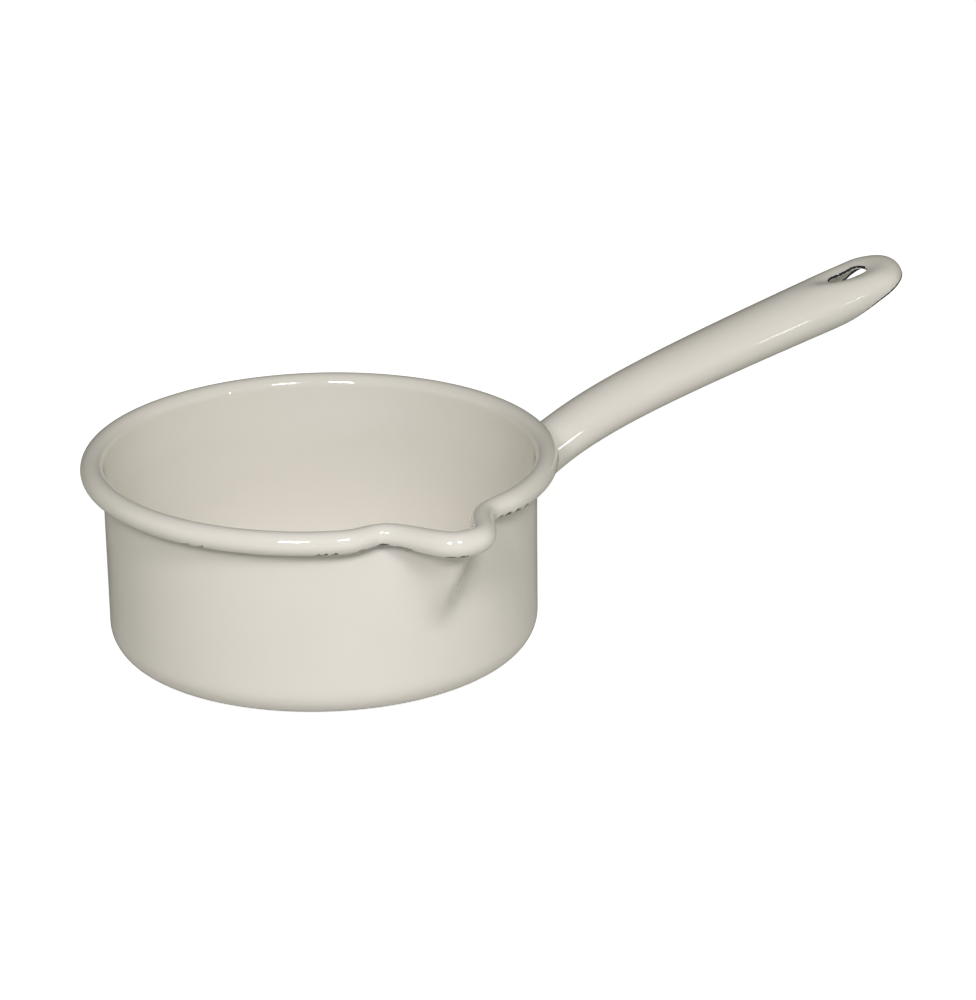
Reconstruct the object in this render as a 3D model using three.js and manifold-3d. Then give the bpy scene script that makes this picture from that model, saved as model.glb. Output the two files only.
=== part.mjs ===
// A pouring saucepan of enamelled sheet steel: a drawn body with a rolled rim and a pressed spout,
// and a hollow handle rolled from one sheet, welded along its underside and on to the wall.
// Millimetres, +Z up. The origin is on the body's axis at the underside of the base,
// the handle points along +X and the spout along -Y.
import * as THREE from "three";
import { mergeVertices } from "three/addons/utils/BufferGeometryUtils.js";
import Module from "manifold-3d";

const wasm = await Module();
wasm.setup();

// Sheet and joints
const sheet = 1.2; // steel with its enamel on both sides
const jointGap = 0.3; // left between pieces that a weld holds together
const seamWidth = 1.0; // weld in the handle's seam
const filletLeg = 2.4; // weld round the handle's root

// Body
const potHeight = 74.3; // to the top of the rolled rim
const mouthRadius = 79.5; // inside the rim
const wallTaper = 0.4; // the straight wall draws in by this much down to the foot
const footRadius = 10.5; // round between base and wall, outside
const wallFlare = 0.7; // the wall opens out by this much at the rim
const flareHeight = 18; // and over this height
const rimRadius = 4.3; // outside of the rolled rim
const rimRollDegrees = 252; // how far the sheet is rolled over

// Spout
const spoutReach = 16.4; // how far the rim is pushed out
const spoutHalfWidth = 13.4; // half the push's width, where it has fallen to a third
const spoutDepth = 46.3; // rim's top to the foot of the spout's keel
const spoutFullDepth = 8.3; // and to where the keel stands fully out
const keelHalfWidth = 6.8; // the keel's own half width, below the rim
const shoulderDip = 3; // the rim is drawn in beside the spout, on the side away from the handle
const handleSideDip = 0.3; // and on the handle's side
const shoulderPlace = 23; // from the spout's middle
const shoulderSpan = 8;
const lipSwell = 0.45; // the rolled rim is fuller at the spout's lip
const shoulderPinch = 0.4; // and slimmer where it is drawn in

// Handle
const handleRootDrop = 33.3; // rim's top to the handle's middle line at the wall
const handleReach = 188.2; // wall to tip, measured level
const handleRise = 49.9; // from the middle line's root to its tip
const handleRootAngle = 30; // degrees above level
const handleTipAngle = 9.9;
const handleRootPull = 44; // how long the curve keeps each end's direction
const handleTipPull = 146;
const handleRootWidth = 19.4;
const handleRootHeight = 17.5;
const handleTipWidth = 28.1;
const handleTipHeight = 21.7;
const handleFlare = 1.3; // swelling at the wall
const handleFlareLength = 36;
const noseLength = 14.5; // rounded end
const noseLift = 2.1; // the end rises above the middle line
const noseLiftLength = 40;
const scoopLength = 40; // underside left open before the tip
const scoopEdgeRise = 2.8; // that opening's edge at the tip, above the middle line
const scoopEdgeSag = 2.8; // how far the edge's curve is pulled down on the way there
const slotLength = 16.9; // hanging slot
const slotWidth = 6.9; // at its end towards the tip
const slotTaper = 0.67; // what is left of that width at the other end
const slotFromTip = 23; // slot's middle
const dishDepth = 5.2; // the top is pressed down round the slot
const dishAhead = 4.2; // most at this place, between the slot's middle and the tip
const dishLength = 16.5;
const dishWidth = 7.8; // beside the slot's middle
const dishWidening = 23.8; // length over which the dish grows wider towards the tip

// Facets
const bodySegments = 76;
const spoutCrowding = 0.72; // from 0, evenly spread, towards 1, crowded at the spout
const footSteps = 4;
const lowerWallSteps = 2;
const spoutSteps = 7;
const rimSteps = 11;
const handleRings = 24;
const dishRings = 8;
const noseRings = 7;
const handleSides = 26;
const filletSides = 32;

const radians = THREE.MathUtils.degToRad;
const lerp = THREE.MathUtils.lerp;
const smoothstep = THREE.MathUtils.smoothstep;

// Booleans

function solidOf(geometry) {
  const bare = geometry.clone();
  bare.deleteAttribute("normal");
  bare.deleteAttribute("uv");
  const merged = mergeVertices(bare, 1e-4);
  const mesh = new wasm.Mesh({
    numProp: 3,
    vertProperties: new Float32Array(merged.attributes.position.array),
    triVerts: new Uint32Array(merged.index.array),
  });
  return new wasm.Manifold(mesh);
}

function geometryOf(solid) {
  const mesh = solid.getMesh();
  const geometry = new THREE.BufferGeometry();
  geometry.setAttribute("position", new THREE.BufferAttribute(mesh.vertProperties, 3));
  geometry.setIndex(new THREE.BufferAttribute(mesh.triVerts, 1));
  geometry.computeVertexNormals();
  return geometry;
}

// A closed skin over rings of points. With ends, each end ring is closed by a fan to that point;
// without, the last ring joins the first.
function skinOf(rings, ends) {
  const sides = rings[0].length;
  const points = rings.flat();
  const faces = [];
  const spans = ends ? rings.length - 1 : rings.length;
  for (let ring = 0; ring < spans; ring++) {
    const next = (ring + 1) % rings.length;
    for (let side = 0; side < sides; side++) {
      const a = ring * sides + side;
      const b = ring * sides + ((side + 1) % sides);
      const c = next * sides + ((side + 1) % sides);
      const d = next * sides + side;
      faces.push(a, b, c, a, c, d);
    }
  }
  if (ends) {
    const last = (rings.length - 1) * sides;
    const first = points.length;
    points.push(ends[0], ends[1]);
    for (let side = 0; side < sides; side++) {
      const after = (side + 1) % sides;
      faces.push(first, after, side);
      faces.push(first + 1, last + side, last + after);
    }
  }
  const geometry = new THREE.BufferGeometry().setFromPoints(points);
  geometry.setIndex(faces);
  geometry.computeVertexNormals();
  return geometry;
}

// Body

const wallTopRadius = mouthRadius + sheet - wallFlare; // outside, below the flare
const wallFootRadius = wallTopRadius - wallTaper; // outside, above the rounded foot
const rimCentreRadius = mouthRadius + rimRadius;
const rimCentreHeight = potHeight - rimRadius;
const rollRadius = rimRadius - sheet / 2; // middle of the rolled sheet
const spoutFootHeight = potHeight - spoutDepth;
const spoutFullHeight = potHeight - spoutFullDepth;

// Outside of the wall: a slight taper, then the flare up to the rim
function wallRadius(height) {
  const up = (height - footRadius) / (rimCentreHeight - footRadius);
  const straight = lerp(wallFootRadius, wallTopRadius, up);
  const flare = smoothstep(height, rimCentreHeight - flareHeight, rimCentreHeight);
  return straight + wallFlare * flare;
}

// A point seen from above is held as (across, outward): its place across the spout's direction
// and along it. An angle is counted from the spout towards the handle.
function onCircle(radius, angle) {
  return new THREE.Vector2(radius * Math.sin(angle), radius * Math.cos(angle));
}

function normalAt(curve, angle) {
  const step = 1e-3;
  const along = curve(angle + step).sub(curve(angle - step)).normalize();
  return new THREE.Vector2(-along.y, along.x);
}

// How much of the push and of the drawing in the rim has at an angle, each from 0 to 1
function spoutShares(angle) {
  const point = onCircle(rimCentreRadius, angle);
  const across = Math.abs(point.x);
  if (point.y < 0) return { push: 0, dip: 0 };
  return {
    push: Math.exp(-((across / spoutHalfWidth) ** 3)),
    dip: Math.exp(-(((across - shoulderPlace) / shoulderSpan) ** 2)),
  };
}

// Middle line of the rolled rim: a circle, pushed out at the spout and drawn in beside it
function rimLine(angle) {
  const { push, dip } = spoutShares(angle);
  const point = onCircle(rimCentreRadius, angle);
  point.y += spoutReach * push - (angle < 0 ? shoulderDip : handleSideDip) * dip;
  return point;
}

// Radius of the roll
function rollAt(angle) {
  const { push, dip } = spoutShares(angle);
  return rimRadius + lipSwell * push - shoulderPinch * dip;
}

// How far the wall's top edge has moved from its circle
function wallTopShift(angle) {
  const top = rimLine(angle).addScaledVector(normalAt(rimLine, angle), -rollRadius);
  return top.sub(onCircle(mouthRadius + sheet / 2, angle));
}

// Middle of the wall at a height: a keel leans out from the spout's foot and takes on the rim's
// wider shape near the top
function wallLine(radius, height) {
  const up = Math.max(0, (height - spoutFootHeight) / (rimCentreHeight - spoutFootHeight));
  const push = smoothstep(height, spoutFootHeight, spoutFullHeight);
  const likeRim = up ** 3;
  return (angle) => {
    const point = onCircle(radius, angle);
    if (point.y > 0) {
      const keel = spoutReach * Math.exp(-((Math.abs(point.x) / keelHalfWidth) ** 1.9));
      point.y += push * (1 - likeRim) * keel;
    }
    if (up > 0) point.addScaledVector(wallTopShift(angle), push * likeRim);
    return point;
  };
}

// The sheet's middle line from the axis out to the rolled edge, as stations. Each station gives
// a point at an angle round the body and at a side, +1 for the wet side and -1 for the outside.
function sheetStations() {
  const stations = [];
  const half = sheet / 2;
  const addWall = (radius, height, slope) => {
    const line = wallLine(radius, height);
    stations.push((angle, side) => {
      const place = line(angle).addScaledVector(normalAt(line, angle), -side * half * Math.cos(slope));
      return new THREE.Vector3(place.x, -place.y, height + side * half * Math.sin(slope));
    });
  };
  const footCentre = wallFootRadius - footRadius;
  stations.push((angle, side) => new THREE.Vector3(0, 0, half + side * half));
  for (let step = 0; step <= footSteps; step++) {
    const turn = (step / footSteps) * (Math.PI / 2);
    const reach = footRadius - half;
    addWall(footCentre + reach * Math.sin(turn), footRadius - reach * Math.cos(turn), Math.PI / 2 - turn);
  }
  for (let step = 1; step <= lowerWallSteps; step++) {
    const height = lerp(footRadius, spoutFootHeight, step / lowerWallSteps);
    addWall(wallRadius(height) - half, height, 0);
  }
  for (let step = 1; step < spoutSteps; step++) {
    const height = lerp(spoutFootHeight, rimCentreHeight, step / spoutSteps);
    addWall(wallRadius(height) - half, height, 0);
  }
  for (let step = 0; step <= rimSteps; step++) {
    const turn = Math.PI - radians(rimRollDegrees) * (step / rimSteps);
    stations.push((angle, side) => {
      const roll = rollAt(angle);
      const reach = roll - half + side * half;
      const outward = roll - rimRadius + reach * Math.cos(turn);
      const place = rimLine(angle).addScaledVector(normalAt(rimLine, angle), outward);
      return new THREE.Vector3(place.x, -place.y, potHeight - roll + reach * Math.sin(turn));
    });
  }
  return stations;
}

// The body is turned as a lathe turns it, the outside first, out to the rolled edge, then back
// along the wet side, and every ring is then drawn to the spout's shape.
function bodyGeometry() {
  const stations = sheetStations();
  const wetSide = stations.map((station) => (angle) => station(angle, 1));
  const outside = stations.map((station) => (angle) => station(angle, -1));
  const profile = [...outside, ...wetSide.reverse()];
  const plain = profile.map((place) => {
    const point = place(Math.PI);
    return new THREE.Vector2(Math.hypot(point.x, point.y), point.z);
  });
  const geometry = new THREE.LatheGeometry(plain, bodySegments);
  const position = geometry.attributes.position;
  for (let segment = 0; segment <= bodySegments; segment++) {
    const even = ((segment % bodySegments) / bodySegments) * 2 * Math.PI - Math.PI;
    const angle = even - spoutCrowding * Math.sin(even);
    profile.forEach((place, index) => {
      const point = place(angle);
      position.setXYZ(segment * profile.length + index, point.x, point.y, point.z);
    });
  }
  geometry.computeVertexNormals();
  return geometry;
}

// The room that the body takes up beside the handle, with the joint's gap
function bodyRoom() {
  const steps = 24;
  const outline = [new THREE.Vector2(0, 0)];
  for (let step = 0; step <= steps; step++) {
    const height = (step / steps) * rimCentreHeight;
    outline.push(new THREE.Vector2(wallRadius(height) + jointGap, height));
  }
  outline.push(new THREE.Vector2(0, rimCentreHeight));
  return new THREE.LatheGeometry(outline, 2 * bodySegments).rotateX(Math.PI / 2);
}

// Handle

const handleRoot = new THREE.Vector3(wallTopRadius - sheet / 2, 0, potHeight - handleRootDrop);
const handleTip = handleRoot.clone().add(new THREE.Vector3(handleReach, 0, handleRise));

function slanted(degrees) {
  return new THREE.Vector3(Math.cos(radians(degrees)), 0, Math.sin(radians(degrees)));
}

const handleLine = new THREE.CubicBezierCurve3(
  handleRoot,
  handleRoot.clone().addScaledVector(slanted(handleRootAngle), handleRootPull),
  handleTip.clone().addScaledVector(slanted(handleTipAngle), -handleTipPull),
  handleTip,
);
const handleLength = handleLine.getLength();
const noseStart = handleLength - noseLength;
const formStart = -handleRootHeight; // forms and cutters begin inside the body
const seamEnd = handleLength - scoopLength;
const slotPlace = handleLength - slotFromTip;

// The middle line's point and directions at a distance from the root. It runs straight on past
// both ends, so that cutters and the root can reach beyond them.
function handleFrame(distance) {
  const inside = THREE.MathUtils.clamp(distance / handleLength, 0, 1);
  const along = handleLine.getTangentAt(inside);
  const middle = handleLine.getPointAt(inside);
  middle.addScaledVector(along, distance - inside * handleLength);
  return { middle, along, up: new THREE.Vector3(-along.z, 0, along.x) };
}

// A point on the handle at a distance from the root and a turn round it, counted from the side.
// grow sets it outside the handle's own surface, or inside where it is less than zero.
function handlePoint(distance, turn, grow) {
  const { middle, up } = handleFrame(distance);
  const share = distance / handleLength;
  const swell = handleFlare * Math.max(0, 1 - distance / handleFlareLength) ** 2;
  const past = Math.max(0, distance - noseStart) / (noseLength + grow);
  const nose = Math.sqrt(Math.max(0, 1 - past ** 2));
  const halfWidth = lerp(handleRootWidth, handleTipWidth, share) / 2 + swell + grow;
  const halfHeight = lerp(handleRootHeight, handleTipHeight, share) / 2 + swell + grow;
  const aside = halfWidth * nose * Math.cos(turn);
  const lift = noseLift * smoothstep(distance, handleLength - noseLiftLength, handleLength);
  const ahead = distance - slotPlace;
  const fromDeepest = Math.abs(ahead - dishAhead) / dishLength;
  const width = dishWidth * Math.exp(ahead / dishWidening);
  const dish = dishDepth * nose * Math.exp(-(fromDeepest ** 3) - (aside / width) ** 2);
  const rise = lift + halfHeight * nose * Math.sin(turn) - dish * Math.max(0, Math.sin(turn));
  return middle.addScaledVector(up, rise).setY(aside);
}

// The solid form of the handle, from inside the body's wall to the rounded end
function handleForm(grow) {
  const rings = [];
  const addRing = (distance) => {
    const ring = [];
    for (let side = 0; side < handleSides; side++) {
      ring.push(handlePoint(distance, (side / handleSides) * 2 * Math.PI, grow));
    }
    rings.push(ring);
  };
  const dishStart = slotPlace - slotLength;
  for (let ring = 0; ring < handleRings; ring++) {
    addRing(lerp(formStart, dishStart, ring / handleRings));
  }
  for (let ring = 0; ring < dishRings; ring++) {
    addRing(lerp(dishStart, noseStart, ring / dishRings));
  }
  for (let ring = 0; ring < noseRings; ring++) {
    addRing(noseStart + (noseLength + grow) * Math.sin((ring / noseRings) * (Math.PI / 2)));
  }
  const end = handlePoint(handleLength + grow, 0, grow);
  return skinOf(rings, [handleFrame(formStart).middle, end]);
}

// A cutter or strip that follows the underside, between two distances from the root
function seamStrip(from, to, halfWidth, below, above) {
  const rings = [];
  for (let ring = 0; ring <= handleRings; ring++) {
    const distance = lerp(from, to, ring / handleRings);
    const { up } = handleFrame(distance);
    const bottom = handlePoint(distance, -Math.PI / 2, 0);
    const corner = (aside, rise) => bottom.clone().addScaledVector(up, rise).setY(aside);
    rings.push([
      corner(-halfWidth, -below),
      corner(halfWidth, -below),
      corner(halfWidth, above),
      corner(-halfWidth, above),
    ]);
  }
  const middleOf = (ring) => ring[0].clone().lerp(ring[2], 0.5);
  return skinOf(rings, [middleOf(rings[0]), middleOf(rings[handleRings])]);
}

// Sets a flat outline, drawn with x along the handle, in the handle's own frame at a distance
function setAt(geometry, distance) {
  const { middle, along, up } = handleFrame(distance);
  const aside = new THREE.Vector3().crossVectors(up, along);
  return geometry.applyMatrix4(new THREE.Matrix4().makeBasis(along, aside, up).setPosition(middle));
}

// The slot is a long hole with round ends, drawn together towards the root
function slotCutter() {
  const straight = (slotLength - slotWidth) / 2;
  const even = new THREE.Path();
  even.absarc(straight, 0, slotWidth / 2, -Math.PI / 2, Math.PI / 2);
  even.absarc(-straight, 0, slotWidth / 2, Math.PI / 2, Math.PI * 1.5);
  const drawn = even.getPoints(10).map((point) => {
    const share = (point.x + slotLength / 2) / (straight + slotLength / 2);
    return new THREE.Vector2(point.x, point.y * lerp(slotTaper, 1, Math.min(1, share)));
  });
  const cutter = new THREE.ExtrudeGeometry(new THREE.Shape(drawn), {
    depth: handleTipHeight,
    bevelEnabled: false,
  });
  return setAt(cutter, slotPlace);
}

// Everything below the edge of the open underside
function scoopCutter() {
  const low = -handleTipHeight;
  const outline = new THREE.Shape();
  outline.moveTo(0, -handleTipHeight / 2 - sheet);
  outline.quadraticCurveTo(
    0.62 * scoopLength,
    scoopEdgeRise - scoopEdgeSag,
    scoopLength + sheet,
    scoopEdgeRise,
  );
  outline.lineTo(scoopLength + noseLength, low);
  outline.lineTo(0, low);
  const cutter = new THREE.ExtrudeGeometry(outline, {
    depth: 2 * handleTipWidth,
    bevelEnabled: false,
    curveSegments: 10,
  });
  cutter.translate(0, 0, -handleTipWidth).rotateX(Math.PI / 2);
  return setAt(cutter, handleLength - scoopLength);
}

function handleTube() {
  const slitEnd = seamEnd + scoopLength / 2;
  const slit = seamStrip(formStart, slitEnd, seamWidth / 2 + jointGap, sheet, 2 * sheet);
  return solidOf(handleForm(0))
    .subtract(solidOf(handleForm(-sheet)))
    .subtract(solidOf(scoopCutter()))
    .subtract(solidOf(slotCutter()))
    .subtract(solidOf(slit))
    .subtract(solidOf(bodyRoom()));
}

function seamWeld() {
  const strip = seamStrip(formStart, seamEnd, seamWidth / 2, 0, sheet);
  return solidOf(strip).subtract(solidOf(bodyRoom()));
}

// The distance from the root at which a line along the handle's surface stands clear of the wall
function distanceOffWall(turn, grow, clear) {
  let near = -handleFlareLength;
  let far = handleFlareLength;
  for (let halving = 0; halving < 40; halving++) {
    const middle = (near + far) / 2;
    const point = handlePoint(middle, turn, grow);
    const off = Math.hypot(point.x, point.y) - wallRadius(point.z);
    if (off < clear) near = middle;
    else far = middle;
  }
  return far;
}

// A hollow fillet all round the root, between the wall and the tube
function rootWeld() {
  const hollow = 0.35 * filletLeg;
  const rings = [];
  for (let side = 0; side < filletSides; side++) {
    const turn = (side / filletSides) * 2 * Math.PI;
    const corner = (offHandle, offWall) => {
      const grow = jointGap + offHandle;
      return handlePoint(distanceOffWall(turn, grow, jointGap + offWall), turn, grow);
    };
    rings.push([corner(0, 0), corner(0, filletLeg), corner(hollow, hollow), corner(filletLeg, 0)]);
  }
  return skinOf(rings);
}

// Assembly

const coverEnamel = { color: 0xd8d0c2, roughness: 0.12, metalness: 0 };

function piece(name, geometry) {
  const mesh = new THREE.Mesh(geometry, new THREE.MeshStandardMaterial(coverEnamel));
  mesh.name = name;
  return mesh;
}

const saucepan = new THREE.Group();
saucepan.name = "pouring_saucepan";
saucepan.add(piece("pot_body", bodyGeometry()));
const handle = new THREE.Group();
handle.name = "handle";
handle.add(piece("handle_tube", geometryOf(handleTube())));
handle.add(piece("handle_seam_weld", geometryOf(seamWeld())));
handle.add(piece("handle_root_weld", rootWeld()));
saucepan.add(handle);

export default saucepan;
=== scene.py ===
import bpy
import math
from mathutils import Matrix, Vector, kdtree


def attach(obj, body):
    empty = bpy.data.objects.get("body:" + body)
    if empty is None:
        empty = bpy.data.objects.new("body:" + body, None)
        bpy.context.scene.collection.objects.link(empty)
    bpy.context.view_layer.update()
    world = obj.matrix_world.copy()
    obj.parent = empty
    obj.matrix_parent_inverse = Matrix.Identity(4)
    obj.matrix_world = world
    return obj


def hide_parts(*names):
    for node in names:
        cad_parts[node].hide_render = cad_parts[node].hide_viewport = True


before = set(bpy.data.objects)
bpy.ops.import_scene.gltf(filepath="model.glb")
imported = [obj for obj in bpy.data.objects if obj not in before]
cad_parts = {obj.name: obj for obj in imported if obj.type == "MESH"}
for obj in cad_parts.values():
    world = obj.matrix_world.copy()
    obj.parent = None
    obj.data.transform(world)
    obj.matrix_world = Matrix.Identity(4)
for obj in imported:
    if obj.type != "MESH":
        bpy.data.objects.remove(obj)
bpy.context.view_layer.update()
bpy.context.scene.view_settings.view_transform = "Standard"
print("frame loaded,", len(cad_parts), "solids")


# All sizes in the dictionaries are millimetres and degrees, in the frame of the solids:
# the axis of the pot is Z, the handle points along +X and the spout along -Y.

def metres(point):
    return Vector(point) / 1000


def lerp(low, high, share):
    return low + (high - low) * share


def smoothStep(value, low, high):
    share = min(1.0, max(0.0, (value - low) / (high - low)))
    return share * share * (3 - 2 * share)


def towards(azimuth, elevation):  # from the pot; 0 is straight in front of the spout, and +X is right
    turn, tilt = math.radians(azimuth), math.radians(elevation)
    return Vector((math.sin(turn) * math.cos(tilt), -math.cos(turn) * math.cos(tilt), math.sin(tilt)))


def linearColour(hexCode):  # sRGB hex to the linear values that sockets take
    channels = [int(hexCode[at:at + 2], 16) / 255 for at in (1, 3, 5)]
    return [c / 12.92 if c <= 0.04045 else ((c + 0.055) / 1.055) ** 2.4 for c in channels] + [1.0]


def addNode(tree, kind, place, settings={}, values={}, links={}):
    node = tree.nodes.new(kind)
    node.location = place
    for name, value in settings.items():
        setattr(node, name, value)
    for socket, value in values.items():
        node.inputs[socket].default_value = value
    for socket, source in links.items():
        tree.links.new(source, node.inputs[socket])
    return node


def namePiece(name):  # the primitive that was just added
    piece = bpy.context.object
    piece.name = name
    piece.data.name = name
    return piece


def applyModifier(piece, kind, settings):
    modifier = piece.modifiers.new(kind.lower(), kind)
    for name, value in settings.items():
        setattr(modifier, name, value)
    bpy.context.view_layer.objects.active = piece
    bpy.ops.object.modifier_apply(modifier=modifier.name)


bpy.ops.object.select_all(action="DESELECT")


# Camera, where the photograph was taken from
view = {
    "azimuth": -31.0,
    "elevation": 21.487,
    "roll": -1.748,
    "distance": 1806.94,
    "aim": (0, 0, 37.11),
    "aimPixel": (322.2, 543.11),  # where that point shows
    "focalPixels": 4870.62,
    "imageSize": (976, 1000),
    "sensorWidth": 36,
    "clip": (50, 50000),
}


def makeCamera():
    toCamera = towards(view["azimuth"], view["elevation"])
    forward = -toCamera
    right = forward.cross(Vector((0, 0, 1))).normalized()
    up = right.cross(forward)
    level = Matrix((right, up, forward))
    lean = math.radians(view["roll"])
    rolled = Matrix((
        (math.cos(lean), math.sin(lean), 0),
        (-math.sin(lean), math.cos(lean), 0),
        (0, 0, 1),
    ))
    wide, high = view["imageSize"]
    aimX, aimY = view["aimPixel"]
    ray = Vector(((aimX - wide / 2) / view["focalPixels"], (high / 2 - aimY) / view["focalPixels"], 1))
    aside = Vector((0, 0, 1)).rotation_difference(ray.normalized()).to_matrix()
    axes = aside @ rolled @ level
    place = metres(view["aim"]) + toCamera * view["distance"] / 1000
    bpy.ops.object.camera_add(location=place)
    camera = bpy.context.object
    camera.name = "photo_camera"
    turned = Matrix((axes[0], axes[1], -axes[2])).transposed().to_4x4()
    camera.matrix_world = Matrix.Translation(place) @ turned
    camera.data.sensor_width = view["sensorWidth"]
    camera.data.lens = view["focalPixels"] / max(view["imageSize"]) * view["sensorWidth"]
    camera.data.clip_start, camera.data.clip_end = (limit / 1000 for limit in view["clip"])
    bpy.context.scene.camera = camera


makeCamera()
print("camera placed")


# Drawn body: one disc of sheet, drawn to a pot, its rim rolled outwards and the spout pressed out
pot = {
    "sheet": 1.2,  # steel with its enamel on both sides
    "height": 74.3,
    "mouthRadius": 79.5,
    "wallTaper": 0.4,
    "footRadius": 10.5,
    "wallFlare": 0.7,
    "flareHeight": 18,
    "rimRadius": 4.3,
    "rimRoll": 252,
    "segments": 320,
    "floorRings": (24, 46, 60),
    "footSteps": 12,
    "lowerWallSteps": 5,
    "spoutSteps": 20,
    "rollSteps": 30,
    "edgeRound": 0.4,
}
spout = {
    "reach": 16.4,
    "halfWidth": 13.4,
    "lipPower": 3,  # how squarely the lip stands out of the rim
    "depth": 46.3,  # rim's top to where the keel begins
    "fullDepth": 8.3,  # and to where it stands fully out
    "keelHalfWidth": 6.8,
    "keelPower": 1.9,
    "leftDip": 3,  # the rim is drawn in beside the spout
    "rightDip": 0.3,
    "shoulderPlace": 23,
    "shoulderSpan": 8,
    "lipSwell": 0.45,
    "shoulderPinch": 0.4,
    "crowding": 0.72,  # faces stand closer at the spout
}

halfSheet = pot["sheet"] / 2
wallTopRadius = pot["mouthRadius"] + pot["sheet"] - pot["wallFlare"]
wallFootRadius = wallTopRadius - pot["wallTaper"]
rimCentreRadius = pot["mouthRadius"] + pot["rimRadius"]
rimCentreHeight = pot["height"] - pot["rimRadius"]
rollRadius = pot["rimRadius"] - halfSheet
spoutFootHeight = pot["height"] - spout["depth"]
spoutFullHeight = pot["height"] - spout["fullDepth"]


def wallRadius(height):  # outside of the wall, away from the spout
    up = (height - pot["footRadius"]) / (rimCentreHeight - pot["footRadius"])
    flare = smoothStep(height, rimCentreHeight - pot["flareHeight"], rimCentreHeight)
    return lerp(wallFootRadius, wallTopRadius, up) + pot["wallFlare"] * flare


def onCircle(radius, angle):  # from above: across the spout, and outward along it
    return Vector((radius * math.sin(angle), radius * math.cos(angle)))


def spoutShares(angle):
    across, outward = onCircle(rimCentreRadius, angle)
    if outward < 0:
        return 0.0, 0.0
    push = math.exp(-(abs(across) / spout["halfWidth"]) ** spout["lipPower"])
    dip = math.exp(-((abs(across) - spout["shoulderPlace"]) / spout["shoulderSpan"]) ** 2)
    return push, dip


def rimLine(angle):
    push, dip = spoutShares(angle)
    point = onCircle(rimCentreRadius, angle)
    point.y += spout["reach"] * push - (spout["leftDip"] if angle < 0 else spout["rightDip"]) * dip
    return point


def spokeAt(angle):  # what one spoke of the body needs to know of the rim
    along = (rimLine(angle + 0.001) - rimLine(angle - 0.001)).normalized()
    out = Vector((-along.y, along.x))
    push, dip = spoutShares(angle)
    rim = rimLine(angle)
    return {
        "angle": angle,
        "rim": rim,
        "out": out,
        "roll": pot["rimRadius"] + spout["lipSwell"] * push - spout["shoulderPinch"] * dip,
        "topShift": rim - out * rollRadius - onCircle(pot["mouthRadius"] + halfSheet, angle),
    }


def pressed(spoke, radius, height):  # a point of the plain turned pot, drawn to the spout's shape
    if height >= rimCentreHeight - 1e-4 or radius > pot["mouthRadius"] + pot["sheet"]:  # the rolled rim
        turn = math.atan2(height - rimCentreHeight, radius - rimCentreRadius)
        reach = spoke["roll"] - halfSheet
        place = spoke["rim"] + spoke["out"] * (spoke["roll"] - pot["rimRadius"] + reach * math.cos(turn))
        return place.x, -place.y, pot["height"] - spoke["roll"] + reach * math.sin(turn)
    place = onCircle(radius, spoke["angle"])
    up = max(0.0, (height - spoutFootHeight) / (rimCentreHeight - spoutFootHeight))
    if up > 0:
        push, likeRim = smoothStep(height, spoutFootHeight, spoutFullHeight), up ** 3
        if place.y > 0:
            keel = math.exp(-(abs(place.x) / spout["keelHalfWidth"]) ** spout["keelPower"])
            place.y += push * (1 - likeRim) * spout["reach"] * keel
        place += spoke["topShift"] * push * likeRim
    return place.x, -place.y, height


def sheetProfile():  # middle of the sheet, from the axis to the rolled edge
    points = [(0, halfSheet)] + [(radius, halfSheet) for radius in pot["floorRings"]]
    reach = pot["footRadius"] - halfSheet
    for step in range(pot["footSteps"] + 1):
        turn = math.pi / 2 * step / pot["footSteps"]
        points.append((
            wallFootRadius - pot["footRadius"] + reach * math.sin(turn),
            pot["footRadius"] - reach * math.cos(turn),
        ))
    for step in range(1, pot["lowerWallSteps"] + 1):
        height = lerp(pot["footRadius"], spoutFootHeight, step / pot["lowerWallSteps"])
        points.append((wallRadius(height) - halfSheet, height))
    for step in range(1, pot["spoutSteps"]):
        height = lerp(spoutFootHeight, rimCentreHeight, step / pot["spoutSteps"])
        points.append((wallRadius(height) - halfSheet, height))
    for step in range(pot["rollSteps"] + 1):
        turn = math.pi - math.radians(pot["rimRoll"]) * step / pot["rollSteps"]
        points.append((
            rimCentreRadius + rollRadius * math.cos(turn),
            rimCentreHeight + rollRadius * math.sin(turn),
        ))
    return points


def makeBody():
    bpy.ops.mesh.primitive_plane_add(size=0.01)
    piece = namePiece("drawn_body")
    bpy.ops.object.mode_set(mode="EDIT")
    bpy.ops.mesh.select_all(action="SELECT")
    bpy.ops.mesh.merge(type="CENTER")
    points = sheetProfile()
    bpy.ops.transform.translate(value=metres((points[0][0], 0, points[0][1])))
    for before, after in zip(points, points[1:]):
        step = metres((after[0] - before[0], 0, after[1] - before[1]))
        bpy.ops.mesh.extrude_vertices_move(TRANSFORM_OT_translate={"value": step})
    bpy.ops.mesh.select_all(action="SELECT")
    bpy.ops.mesh.spin(steps=pot["segments"], angle=2 * math.pi, center=(0, 0, 0), axis=(0, 0, 1))
    bpy.ops.mesh.select_all(action="SELECT")
    bpy.ops.mesh.remove_doubles(threshold=0.00001)
    bpy.ops.mesh.normals_make_consistent(inside=False)
    bpy.ops.object.mode_set(mode="OBJECT")

    # the spout is pressed out and the spokes drawn together there
    spokes = []
    for segment in range(pot["segments"]):
        even = 2 * math.pi * segment / pot["segments"] - math.pi
        spokes.append(spokeAt(even - spout["crowding"] * math.sin(even)))
    for vertex in piece.data.vertices:
        x, y, z = vertex.co * 1000
        radius = math.hypot(x, y)
        if radius > 0.01:
            even = math.atan2(x, -y)
            segment = round((even + math.pi) / (2 * math.pi) * pot["segments"]) % pot["segments"]
            vertex.co = metres(pressed(spokes[segment], radius, z))
    return piece


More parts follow.
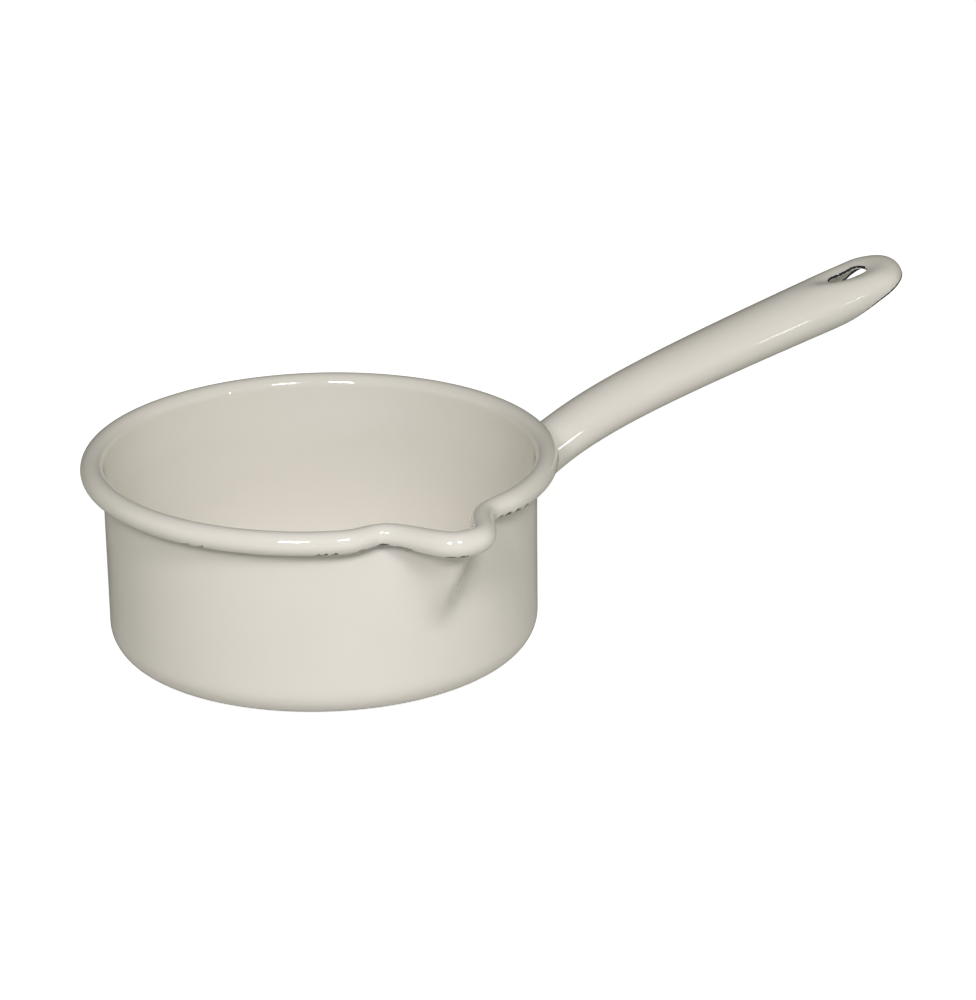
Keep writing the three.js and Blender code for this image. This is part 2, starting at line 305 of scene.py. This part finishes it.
body = makeBody()
print("body drawn,", len(body.data.polygons), "faces before its thickness")


# Rolled handle: one blank, rolled to a tube that is open underneath before the tip
handle = {
    "rootDrop": 33.3,
    "reach": 188.2,
    "rise": 49.9,
    "rootAngle": 30,
    "tipAngle": 9.9,
    "rootPull": 44,
    "tipPull": 146,
    "rootWidth": 19.4,
    "rootHeight": 17.5,
    "tipWidth": 28.1,
    "tipHeight": 21.7,
    "flare": 1.3,
    "flareLength": 36,
    "noseLength": 14.5,
    "noseLift": 2.1,
    "noseLiftLength": 40,
    "scoopLength": 40,
    "scoopEdgeRise": 2.8,
    "scoopEdgeSag": 2.8,
    "scoopBend": 0.62,  # share of the scoop's length where its edge bends most
    "slotLength": 16.9,
    "slotWidth": 6.9,
    "slotTaper": 0.67,  # the slot is drawn together towards the root
    "slotFromTip": 23,
    "slotEaseAlong": 10,  # the blank's rows and columns are even again this far from the slot
    "slotEaseAside": 5,
    "slotEaseLean": 45,
    "dishDepth": 5.2,  # the top is pressed down round the slot
    "dishAhead": 4.2,  # most between the slot's middle and the tip
    "dishLength": 16.5,
    "dishWidth": 7.8,
    "dishWidening": 23.8,  # and wider towards the tip
    "seamGap": 0.8,
    "intoWall": 0.5,  # the tube's end stands this far in the body's sheet
    "edgeRound": 0.32,
    "crownLean": 40,
    "noseCorner": 50,  # where the nose's side rows meet its end row
    "nosePastStart": 0.3,
    "nosePastSlot": 0.9,
    "slotColumns": 8,  # half of each, as the blank is the same on both sides
    "crownColumns": 9,
    "sideColumns": 24,
    "tubeRows": 76,
    "neckRows": 14,
    "slotRows": 24,
    "noseRows": 22,
}


def slanted(degrees):
    return Vector((math.cos(math.radians(degrees)), math.sin(math.radians(degrees))))


handleRoot = Vector((wallTopRadius - halfSheet, pot["height"] - handle["rootDrop"]))
handleTip = handleRoot + Vector((handle["reach"], handle["rise"]))
handlePulls = (
    handleRoot,
    handleRoot + slanted(handle["rootAngle"]) * handle["rootPull"],
    handleTip - slanted(handle["tipAngle"]) * handle["tipPull"],
    handleTip,
)


def handleCurve(share):  # the middle line from the side, as x and z, and its direction
    a, b, c, d = handlePulls
    back = 1 - share
    place = a * back ** 3 + b * 3 * back * back * share + c * 3 * back * share * share + d * share ** 3
    along = (b - a) * back * back + (c - b) * 2 * back * share + (d - c) * share * share
    return place, along.normalized()


curveSteps = 800
curveLengths = [0.0]
for curveStep in range(curveSteps):
    chord = handleCurve((curveStep + 1) / curveSteps)[0] - handleCurve(curveStep / curveSteps)[0]
    curveLengths.append(curveLengths[-1] + chord.length)
handleLength = curveLengths[-1]
noseStart = handleLength - handle["noseLength"]
scoopStart = handleLength - handle["scoopLength"]
slotPlace = handleLength - handle["slotFromTip"]


def handleFrame(distance):  # straight on past both ends
    inside = min(handleLength, max(0.0, distance))
    low, high = 0, curveSteps
    while high - low > 1:
        middle = (low + high) // 2
        if curveLengths[middle] <= inside:
            low = middle
        else:
            high = middle
    part = (inside - curveLengths[low]) / (curveLengths[high] - curveLengths[low])
    place, along = handleCurve((low + part) / curveSteps)
    return place + along * (distance - inside), along


def noseShare(distance, grow=0.0):
    past = max(0.0, distance - noseStart) / (handle["noseLength"] + grow)
    return math.sqrt(max(0.0, 1 - past * past))


def handleHalves(distance):  # half the width and half the height
    swell = handle["flare"] * max(0.0, 1 - distance / handle["flareLength"]) ** 2
    share = distance / handleLength
    width = lerp(handle["rootWidth"], handle["tipWidth"], share)
    height = lerp(handle["rootHeight"], handle["tipHeight"], share)
    return width / 2 + swell, height / 2 + swell


def noseLift(distance):
    return handle["noseLift"] * smoothStep(distance, handleLength - handle["noseLiftLength"], handleLength)


def handlePoint(distance, turn, grow=0.0):  # turn is counted from the side, and grow goes outside
    place, along = handleFrame(distance)
    halfWidth, halfHeight = handleHalves(distance)
    nose = noseShare(distance, grow)
    aside = (halfWidth + grow) * nose * math.cos(turn)
    ahead = distance - slotPlace
    fromDeepest = abs(ahead - handle["dishAhead"]) / handle["dishLength"]
    dishWidth = handle["dishWidth"] * math.exp(ahead / handle["dishWidening"])
    dish = handle["dishDepth"] * nose * math.exp(-fromDeepest ** 3 - (aside / dishWidth) ** 2)
    upShare = math.sin(turn)
    rise = noseLift(distance) + (halfHeight + grow) * nose * upShare - dish * max(0.0, upShare)
    return Vector((place.x - along.y * rise, aside, place.y + along.x * rise))


def distanceOffWall(turn, grow, clear):
    near, far = -handle["flareLength"], handle["flareLength"]
    for halving in range(30):
        middle = (near + far) / 2
        point = handlePoint(middle, turn, grow)
        if math.hypot(point.x, point.y) - wallRadius(point.z) < clear:
            near = middle
        else:
            far = middle
    return far


def scoopEdge(along):  # height of the cut's edge over the middle line, along from the scoop's start
    startZ = -handle["tipHeight"] / 2 - pot["sheet"]
    bendX = handle["scoopBend"] * handle["scoopLength"]
    bendZ = handle["scoopEdgeRise"] - handle["scoopEdgeSag"]
    endX, endZ = handle["scoopLength"] + pot["sheet"], handle["scoopEdgeRise"]
    spread = endX - 2 * bendX
    share = (-bendX + math.sqrt(bendX * bendX + spread * along)) / spread
    back = 1 - share
    return back * back * startZ + 2 * back * share * bendZ + share * share * endZ


def edgeLean(distance):  # how far round from the top the blank's edge lies
    halfHeight = handleHalves(distance)[1]
    seam = math.pi - math.asin(handle["seamGap"] / 2 / halfHeight)
    if distance <= scoopStart:
        return seam
    rise = scoopEdge(distance - scoopStart) - noseLift(distance)
    sine = rise / (halfHeight * max(0.01, noseShare(distance)))
    return min(seam, math.pi / 2 - math.asin(min(1.0, max(-1.0, sine))))


def columnLean(column, distance):  # and its columns, counted from the middle one
    slotColumns, crownColumns = handle["slotColumns"], handle["crownColumns"]
    slotHalf = handle["slotWidth"] / 2 / handleHalves(slotPlace)[0]
    crown = math.radians(handle["crownLean"])
    if column <= slotColumns:
        return math.asin(slotHalf * math.sin(math.pi / 2 * column / slotColumns))
    if column <= slotColumns + crownColumns:
        return lerp(math.asin(slotHalf), crown, (column - slotColumns) / crownColumns)
    share = (column - slotColumns - crownColumns) / handle["sideColumns"]
    return lerp(crown, edgeLean(distance), share)


def aroundSlot(distance, lean):  # draws the square hole of the blank to the slot's shape
    aside = handleHalves(distance)[0] * noseShare(distance) * math.sin(lean)
    ends, half = handle["slotWidth"] / 2, handle["slotLength"] / 2
    widest, furthest = ends + handle["slotEaseAside"], half + handle["slotEaseAlong"]
    away = distance - slotPlace
    if abs(away) > furthest or abs(aside) > widest or abs(lean) > math.radians(handle["slotEaseLean"]):
        return distance, lean
    besideSlot = smoothStep(abs(aside), ends, widest)
    pastSlot = smoothStep(abs(away), half, furthest)
    if abs(aside) <= ends:
        pull = ends - math.sqrt(max(0.0, ends * ends - aside * aside))
    else:
        pull = ends * (1 - besideSlot)
    pull *= away / half if abs(away) <= half else math.copysign(1 - pastSlot, away)
    moved = distance - pull
    taper = lerp(handle["slotTaper"], 1, min(1.0, max(0.0, (moved - slotPlace + half) / (2 * half - ends))))
    aside *= lerp(lerp(taper, 1, besideSlot), 1, pastSlot)
    return moved, math.asin(min(1.0, max(-1.0, aside / (handleHalves(moved)[0] * noseShare(moved)))))


def flatOf(direction):  # a direction on the nose, laid flat about the middle of its upper quarter
    forward, aside, up = direction
    depth = 1 + (forward + up) / math.sqrt(2)
    return Vector((aside / depth, (forward - up) / math.sqrt(2) / depth))


def directionOf(flat):
    square = flat.length_squared
    lengthwise = 2 * flat.y / math.sqrt(2)
    inward = (1 - square) / math.sqrt(2)
    whole = 1 + square
    return (inward + lengthwise) / whole, 2 * flat.x / whole, (inward - lengthwise) / whole


halfColumns = handle["slotColumns"] + handle["crownColumns"] + handle["sideColumns"]
slotFirstRow = handle["tubeRows"] + handle["neckRows"]
slotLastRow = slotFirstRow + handle["slotRows"]
noseFirstRow = slotLastRow + 1
blankRows = noseFirstRow + handle["noseRows"]
slotStart = slotPlace - handle["slotLength"] / 2
slotEnd = slotPlace + handle["slotLength"] / 2
neckStart = slotStart - handle["slotEaseAlong"]
nosePatchStart = max(noseStart + handle["nosePastStart"], slotEnd + handle["nosePastSlot"])
noseCut = (handle["scoopEdgeRise"] - handle["noseLift"]) / (handle["tipHeight"] / 2)
noseEnd = math.sqrt(1 - noseCut * noseCut)  # where the scoop's edge meets the nose's top


def nosePlace(column, row):  # the rows of the nose bend round to follow its edge
    cornerTurn = math.radians(handle["noseCorner"])
    start = (nosePatchStart - noseStart) / handle["noseLength"]
    startTurn = math.asin(start)
    fullLean = edgeLean(nosePatchStart)
    lean = math.copysign(columnLean(abs(column), nosePatchStart), column) * math.pi / 2 / fullLean
    across = 0.5 + lean / math.pi
    down = row / handle["noseRows"]
    ring = math.sqrt(1 - start * start)
    bottom = flatOf((start, ring * math.sin(lean), ring * math.cos(lean)))

    def edge(turn):
        return flatOf((math.sin(turn), -math.cos(turn), 0))

    top = edge(lerp(cornerTurn, math.pi - cornerTurn, across))
    left = edge(lerp(startTurn, cornerTurn, down))
    right = edge(math.pi - lerp(startTurn, cornerTurn, down))
    corners = (
        edge(startTurn) * (1 - across) * (1 - down)
        + edge(math.pi - startTurn) * across * (1 - down)
        + edge(cornerTurn) * (1 - across) * down
        + edge(math.pi - cornerTurn) * across * down
    )
    flat = bottom * (1 - down) + top * down + left * (1 - across) + right * across - corners
    forward, aside, up = directionOf(flat)
    distance = noseStart + handle["noseLength"] * noseEnd * min(1.0, max(0.0, forward))
    return distance, math.atan2(aside, up) * edgeLean(distance) / (math.pi / 2)


def blankPlace(column, row, wallDistance):  # distance from the root and lean from the top
    if row >= noseFirstRow:
        return nosePlace(column, row - noseFirstRow)
    if row >= slotFirstRow:
        distance = lerp(slotStart, slotEnd, (row - slotFirstRow) / handle["slotRows"])
    elif row >= handle["tubeRows"]:
        distance = lerp(neckStart, slotStart, (row - handle["tubeRows"]) / handle["neckRows"])
    else:
        distance = lerp(wallDistance, neckStart, row / handle["tubeRows"])
    return distance, math.copysign(columnLean(abs(column), distance), column)


def makeHandle():
    columns, size = 2 * halfColumns, 0.2
    bpy.ops.mesh.primitive_grid_add(x_subdivisions=columns, y_subdivisions=blankRows, size=size)
    piece = namePiece("rolled_handle")

    def onBlank(place):  # column, counted from the middle one, and row
        return (place.x / size + 0.5) * columns - halfColumns, (place.y / size + 0.5) * blankRows

    # the slot is punched in the flat blank
    bpy.ops.object.mode_set(mode="EDIT")
    bpy.ops.mesh.select_all(action="DESELECT")
    bpy.ops.mesh.select_mode(type="FACE")
    bpy.ops.object.mode_set(mode="OBJECT")
    for face in piece.data.polygons:
        column, row = onBlank(face.center)
        face.select = abs(column) < handle["slotColumns"] and slotFirstRow < row < slotLastRow
    for vertex in piece.data.vertices:
        column, row = onBlank(vertex.co)
        vertex.co = (round(column), round(row), 0)
    bpy.ops.object.mode_set(mode="EDIT")
    bpy.ops.mesh.delete(type="FACE")
    bpy.ops.object.mode_set(mode="OBJECT")

    # and the blank is rolled
    wallDistances = {}
    for vertex in piece.data.vertices:
        column, row = round(vertex.co.x), round(vertex.co.y)
        if column not in wallDistances:
            lean = math.copysign(columnLean(abs(column), 0), column)
            wallDistances[column] = distanceOffWall(math.pi / 2 - lean, 0, -handle["intoWall"])
        distance, lean = aroundSlot(*blankPlace(column, row, wallDistances[column]))
        vertex.co = metres(handlePoint(distance, math.pi / 2 - lean))
    bpy.ops.object.mode_set(mode="EDIT")
    bpy.ops.mesh.select_all(action="SELECT")
    bpy.ops.mesh.normals_make_consistent(inside=False)
    bpy.ops.object.mode_set(mode="OBJECT")
    return piece


tube = makeHandle()
print("handle rolled,", len(tube.data.polygons), "faces before its thickness")


# Seam bead: the weld that closes the tube underneath, a low ridge under the enamel
seam = {
    "width": 3.2,
    "proud": 0.3,
    "depth": 0.9,
    "columns": 10,
    "rows": 90,
    "fadeLength": 7,
    "pastScoop": 0.8,
    "offWall": 0.4,
    "endWidth": 0.45,  # shares of its width and height where it fades out
    "endHeight": 0.3,
    "crest": 1.5,  # how narrow its crest is
    "sunk": 0.04,  # its borders lie this deep in the tube's skin
    "rippleLength": 2.6,  # the weld's own waves
    "rippleHeight": 0.05,
}


def makeSeam():
    bpy.ops.mesh.primitive_grid_add(x_subdivisions=seam["columns"], y_subdivisions=seam["rows"], size=1)
    piece = namePiece("seam_bead")
    first = distanceOffWall(-math.pi / 2, 0, seam["offWall"])
    last = scoopStart + seam["pastScoop"]
    for vertex in piece.data.vertices:
        side, share = 2 * vertex.co.x, vertex.co.y + 0.5
        distance = lerp(first, last, share)
        ending = smoothStep(last - distance, 0, seam["fadeLength"])
        halfWidth = seam["width"] / 2 * lerp(seam["endWidth"], 1, math.sqrt(ending))
        ripple = seam["rippleHeight"] * math.sin(2 * math.pi * distance / seam["rippleLength"])
        crest = math.cos(side * math.pi / 2) ** seam["crest"]
        proud = (seam["proud"] + ripple) * lerp(seam["endHeight"], 1, ending) * crest - seam["sunk"]
        lean = math.asin(side * halfWidth / handleHalves(distance)[0])
        vertex.co = metres(handlePoint(distance, -math.pi / 2 + lean, proud))
    bpy.ops.object.mode_set(mode="EDIT")
    bpy.ops.mesh.select_all(action="SELECT")
    bpy.ops.mesh.normals_make_consistent(inside=False)
    bpy.ops.object.mode_set(mode="OBJECT")
    return piece


seamBead = makeSeam()
print("seam bead laid")


# Root fillet: the weld between wall and tube, filled hollow by the enamel
fillet = {
    "leg": 3.4,
    "bury": 0.25,  # its hidden sides stand this far in the wall and the tube
    "aroundSteps": 120,
    "acrossSteps": 16,
}


def filletSection(step):  # off the handle and off the wall, round the section
    openSteps = fillet["acrossSteps"] - 4
    leg, bury = fillet["leg"], fillet["bury"]
    if step <= openSteps:
        turn = math.pi / 2 * step / openSteps
        return leg * (1 - math.sin(turn)), leg * (1 - math.cos(turn))
    return ((-bury, leg), (-bury, -bury), (leg, -bury))[step - openSteps - 1]


def makeFillet():
    around, across = fillet["aroundSteps"], fillet["acrossSteps"]
    ringRadius = 0.012  # of the torus that is bent to shape
    bpy.ops.mesh.primitive_torus_add(
        major_segments=around, minor_segments=across, major_radius=ringRadius, minor_radius=ringRadius / 6,
    )
    piece = namePiece("root_fillet")
    for vertex in piece.data.vertices:
        ring = round(math.atan2(vertex.co.y, vertex.co.x) / (2 * math.pi) * around) % around
        high = math.atan2(vertex.co.z, math.hypot(vertex.co.x, vertex.co.y) - ringRadius)
        step = round(high / (2 * math.pi) * across) % across
        offHandle, offWall = filletSection(step)
        turn = 2 * math.pi * ring / around
        vertex.co = metres(handlePoint(distanceOffWall(turn, offHandle, offWall), turn, offHandle))
    bpy.ops.object.mode_set(mode="EDIT")
    bpy.ops.mesh.select_all(action="SELECT")
    bpy.ops.mesh.normals_make_consistent(inside=False)
    bpy.ops.object.mode_set(mode="OBJECT")
    return piece


rootFillet = makeFillet()
print("root fillet filled")


# Thickness, rounded cut edges, and how thick the cover coat lies near them
coat = {
    "barePlaces": (  # degrees from the spout's middle, half the span, and reach up the rim
        (-69, 1.2, 2.1), (-64.5, 1.2, 2.1), (-33.3, 0.6, 2.0), (-31.6, 0.8, 1.9), (-29, 1.2, 1.9),
        (-22, 1.5, 1.75), (-16, 1.6, 1.9), (-12.3, 1.6, 1.8), (-5.5, 1.5, 1.85), (-2.8, 1.6, 1.95),
        (4, 1.2, 2.15), (17.8, 0.9, 2.36), (20.6, 1.5, 2.5), (24.4, 1.6, 2.68), (28.2, 1.4, 2.9),
        (58, 3, 1.8), (96, 4, 1.9), (131, 3, 1.8), (-104, 3, 1.8), (-141, 4, 1.9), (168, 3, 1.7),
    ),
    "rimReach": -0.25,  # elsewhere on the rim the cover coat goes round the cut edge
    "rimSpread": 1.6,  # how ragged its border is
    "scoopReach": 0.7,
    "slotNearReach": -0.3,
    "slotFarReach": 0.15,  # it drew off most on the slot's far side
    "handleSpread": 0.8,
    "pointSpacing": 0.2,  # of the points that stand for an edge
    "roundSteps": 3,
    "roundFrom": 55,  # corners sharper than this are rounded
}


def cutEdge(piece, keep, depth=0):  # points along the sheet's open edges, this deep under its skin
    uses = {}
    for face in piece.data.polygons:
        for key in face.edge_keys:
            uses[key] = uses.get(key, 0) + 1
    points = []
    for (first, second), count in uses.items():
        ends = (piece.data.vertices[first], piece.data.vertices[second])
        if count == 1 and keep((ends[0].co + ends[1].co) / 2):
            start, end = (vertex.co - vertex.normal * depth for vertex in ends)
            steps = max(1, math.ceil((end - start).length * 1000 / coat["pointSpacing"]))
            points += [start.lerp(end, step / steps) for step in range(steps)]
    return points


def thicken(piece, offset, thickness, edgeRound):
    applyModifier(piece, "SOLIDIFY", {
        "thickness": thickness / 1000,
        "offset": offset,
        "use_even_offset": True,
        "use_rim": True,
    })
    if edgeRound:
        applyModifier(piece, "BEVEL", {
            "width": edgeRound / 1000,
            "segments": coat["roundSteps"],
            "limit_method": "ANGLE",
            "angle_limit": math.radians(coat["roundFrom"]),
            "use_clamp_overlap": False,
        })


def coverCoat(piece, edgePoints, reachAt, spread):  # 0 where the ground coat is bare, 1 where it is covered
    attribute = piece.data.attributes.new("coverCoat", "FLOAT", "POINT")
    values = [1.0] * len(piece.data.vertices)
    if edgePoints:
        tree = kdtree.KDTree(len(edgePoints))
        for index, point in enumerate(edgePoints):
            tree.insert(point, index)
        tree.balance()
        for index, vertex in enumerate(piece.data.vertices):
            away = tree.find(vertex.co)[2] * 1000 - halfSheet
            values[index] = min(1.0, max(0.0, 0.5 + (away - reachAt(vertex.co)) / spread))
    attribute.data.foreach_set("value", values)


def rimReach(place):
    angle = math.degrees(math.atan2(place.x, -place.y))
    if place.y < 0:  # beside the spout the spokes are told apart by where they cross
        angle = math.degrees(math.asin(min(1.0, max(-1.0, place.x * 1000 / rimCentreRadius))))
    reach = coat["rimReach"]
    for middle, halfSpan, up in coat["barePlaces"]:
        off = (angle - middle + 180) % 360 - 180
        reach = max(reach, lerp(coat["rimReach"], up, math.exp(-(off / halfSpan) ** 4)))
    return reach


def onScoop(place):  # the tube's cut edge underneath and round the tip, not the slot's
    return abs(place.y) * 1000 > handle["slotWidth"] or place.x * 1000 > slotFrontX


def handleReach(place):
    if onScoop(place):
        return coat["scoopReach"]
    return coat["slotFarReach"] if place.y > 0 else coat["slotNearReach"]


def finishPiece(piece, node, edgePoints=(), reachAt=None, spread=1.0):
    coverCoat(piece, edgePoints, reachAt, spread)
    bpy.ops.object.select_all(action="DESELECT")
    piece.select_set(True)
    bpy.context.view_layer.objects.active = piece
    bpy.ops.object.shade_smooth()
    piece.select_set(False)
    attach(piece, "root")
    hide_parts(node)


bodyEdge = cutEdge(body, lambda place: True)
thicken(body, 0, pot["sheet"], pot["edgeRound"])
finishPiece(body, "pot_body", bodyEdge, rimReach, coat["rimSpread"])
scoopX = handleFrame(scoopStart)[0].x
slotFrontX = handleFrame(slotEnd + handle["slotLength"] / 4)[0].x  # clear ahead of the slot
tubeEdge = cutEdge(tube, lambda place: place.x * 1000 > scoopX and not onScoop(place))
tubeEdge += cutEdge(tube, lambda place: place.x * 1000 > scoopX and onScoop(place), halfSheet / 1000)
thicken(tube, -1, pot["sheet"], handle["edgeRound"])
finishPiece(tube, "handle_tube", tubeEdge, handleReach, coat["handleSpread"])
thicken(seamBead, -1, seam["depth"], 0)
finishPiece(seamBead, "handle_seam_weld")
finishPiece(rootFillet, "handle_root_weld")
print("sheet thickened and its edges rounded")


# Fired enamel over steel, sprayed and melted to a glass coat: even colour with a faint cloudiness,
# a wet gloss with barely seen waves, and the dark ground coat where the cover coat drew off an edge
enamel = {
    "coverLight": "#ebe8e0",
    "coverDeep": "#e7e3da",
    "groundCoat": "#23262a",
    "roughness": 0.04,
    "ior": 1.5,
    "cloudSize": 38,
    "waveSize": 9,  # the melt's waves
    "waveHeight": 0.006,
    "breakSize": 0.9,  # raggedness of the bare edge
    "breakStrength": 1.5,
    "bareBelow": 1.1,
    "coveredAbove": 1.22,
}


def makeEnamel():
    material = bpy.data.materials.new("fired_enamel_over_steel")
    material.use_nodes = True
    tree = material.node_tree
    tree.nodes.clear()
    place = addNode(tree, "ShaderNodeTexCoord", (-1200, 0)).outputs["Object"]
    cloud = addNode(tree, "ShaderNodeTexNoise", (-900, 300), {"noise_dimensions": "3D"}, {
        "Scale": 1000 / enamel["cloudSize"], "Detail": 2.0, "Roughness": 0.5,
    }, {"Vector": place})
    cover = addNode(tree, "ShaderNodeMix", (-600, 300), {"data_type": "RGBA"}, {
        6: linearColour(enamel["coverLight"]), 7: linearColour(enamel["coverDeep"]),
    }, {0: cloud.outputs["Fac"]})
    ragged = addNode(tree, "ShaderNodeTexNoise", (-900, 0), {"noise_dimensions": "3D"}, {
        "Scale": 1000 / enamel["breakSize"], "Detail": 3.0, "Roughness": 0.6,
    }, {"Vector": place})
    coverAmount = addNode(tree, "ShaderNodeAttribute", (-900, -250), {
        "attribute_name": "coverCoat", "attribute_type": "GEOMETRY",
    })
    edge = addNode(tree, "ShaderNodeMath", (-700, -100), {"operation": "MULTIPLY_ADD"}, {
        1: enamel["breakStrength"],
    }, {0: ragged.outputs["Fac"], 2: coverAmount.outputs["Fac"]})
    covered = addNode(tree, "ShaderNodeMapRange", (-500, -100), {"interpolation_type": "SMOOTHSTEP"}, {
        "From Min": enamel["bareBelow"], "From Max": enamel["coveredAbove"], "To Min": 0.0, "To Max": 1.0,
    }, {"Value": edge.outputs[0]})
    colour = addNode(tree, "ShaderNodeMix", (-300, 200), {"data_type": "RGBA"}, {
        6: linearColour(enamel["groundCoat"]),
    }, {0: covered.outputs[0], 7: cover.outputs[2]})
    wave = addNode(tree, "ShaderNodeTexNoise", (-900, -500), {"noise_dimensions": "3D"}, {
        "Scale": 1000 / enamel["waveSize"], "Detail": 1.0, "Roughness": 0.4,
    }, {"Vector": place})
    bump = addNode(tree, "ShaderNodeBump", (-500, -450), {}, {
        "Strength": 1.0, "Distance": enamel["waveHeight"] / 1000,
    }, {"Height": wave.outputs["Fac"]})
    shader = addNode(tree, "ShaderNodeBsdfPrincipled", (0, 100), {}, {
        "Roughness": enamel["roughness"], "IOR": enamel["ior"], "Metallic": 0.0,
    }, {"Base Color": colour.outputs[2], "Normal": bump.outputs[0]})
    addNode(tree, "ShaderNodeOutputMaterial", (300, 100), {}, {}, {"Surface": shader.outputs[0]})
    return material


enamelMaterial = makeEnamel()
for enamelledPiece in (body, tube, seamBead, rootFillet):
    enamelledPiece.data.materials.clear()
    enamelledPiece.data.materials.append(enamelMaterial)
print("enamel fired")


# Floor: matt white paper, seen as plain white but keeping the pot's shadow
floor = {"size": 16000, "below": 0.05, "colour": "#d4d4d2", "seenLift": 0.9}


def makeFloor():
    bpy.ops.mesh.primitive_plane_add(size=floor["size"] / 1000, location=(0, 0, -floor["below"] / 1000))
    piece = namePiece("paper_floor")
    material = bpy.data.materials.new("matt_white_paper")
    material.use_nodes = True
    tree = material.node_tree
    tree.nodes.clear()
    paper = addNode(tree, "ShaderNodeBsdfDiffuse", (0, 150), {}, {"Color": linearColour(floor["colour"])})
    path = addNode(tree, "ShaderNodeLightPath", (-300, -50))
    lift = addNode(tree, "ShaderNodeMath", (-50, -50), {"operation": "MULTIPLY"}, {1: floor["seenLift"]}, {
        0: path.outputs["Is Camera Ray"],
    })
    glow = addNode(tree, "ShaderNodeEmission", (100, -50), {}, {"Color": (1, 1, 1, 1)}, {
        "Strength": lift.outputs[0],
    })
    both = addNode(tree, "ShaderNodeAddShader", (300, 100), {}, {}, {0: paper.outputs[0], 1: glow.outputs[0]})
    below = addNode(tree, "ShaderNodeNewGeometry", (300, 300)).outputs["Backfacing"]  # clear from underneath
    clear = addNode(tree, "ShaderNodeBsdfTransparent", (300, -50))
    oneSided = addNode(tree, "ShaderNodeMixShader", (500, 100), {}, {}, {
        0: below, 1: both.outputs[0], 2: clear.outputs[0],
    })
    addNode(tree, "ShaderNodeOutputMaterial", (700, 100), {}, {}, {"Surface": oneSided.outputs[0]})
    piece.data.materials.append(material)


makeFloor()
print("floor laid")


# Studio light: softboxes beside the camera, a wide pale card at each side and an even room
lampAim = (0, 0, 50)
lamps = (  # away and size in metres
    {"name": "left_softbox", "azimuth": -45, "elevation": 34,
     "away": 1.6, "size": 0.34, "watts": 10.2, "colour": "#fffdff"},
    {"name": "right_softbox", "azimuth": -11, "elevation": 39,
     "away": 1.6, "size": 0.34, "watts": 9.4, "colour": "#fffdff"},
    {"name": "low_lamp", "azimuth": 17.8, "elevation": 13.9,
     "away": 1.6, "size": 0.06, "watts": 0.6, "colour": "#ffffff"},
    {"name": "far_lamp", "azimuth": 33.1, "elevation": 7.6,
     "away": 1.6, "size": 0.04, "watts": 0.12, "colour": "#ffffff"},
    {"name": "left_card", "azimuth": -115, "elevation": 12,
     "away": 1.8, "size": 1.6, "watts": 3.8, "colour": "#feffea"},
    {"name": "right_card", "azimuth": 50, "elevation": 12,
     "away": 1.8, "size": 1.6, "watts": 4.3, "colour": "#feffea"},
)
room = {"colour": "#feffdc", "strength": 0.064}


def makeLights():
    for row in lamps:
        toward = towards(row["azimuth"], row["elevation"])
        bpy.ops.object.light_add(type="AREA", location=metres(lampAim) + toward * row["away"])
        lamp = bpy.context.object
        lamp.name = row["name"]
        lamp.rotation_euler = toward.to_track_quat("Z", "Y").to_euler()
        lamp.data.shape = "SQUARE"
        lamp.data.size = row["size"]
        lamp.data.energy = row["watts"]
        lamp.data.color = linearColour(row["colour"])[:3]
    world = bpy.data.worlds.new("plain_room")
    bpy.context.scene.world = world
    world.use_nodes = True
    tree = world.node_tree
    tree.nodes.clear()
    air = addNode(tree, "ShaderNodeBackground", (0, 0), {}, {
        "Color": linearColour(room["colour"]), "Strength": room["strength"],
    })
    addNode(tree, "ShaderNodeOutputWorld", (300, 0), {}, {}, {"Surface": air.outputs[0]})


makeLights()
print("lights set")
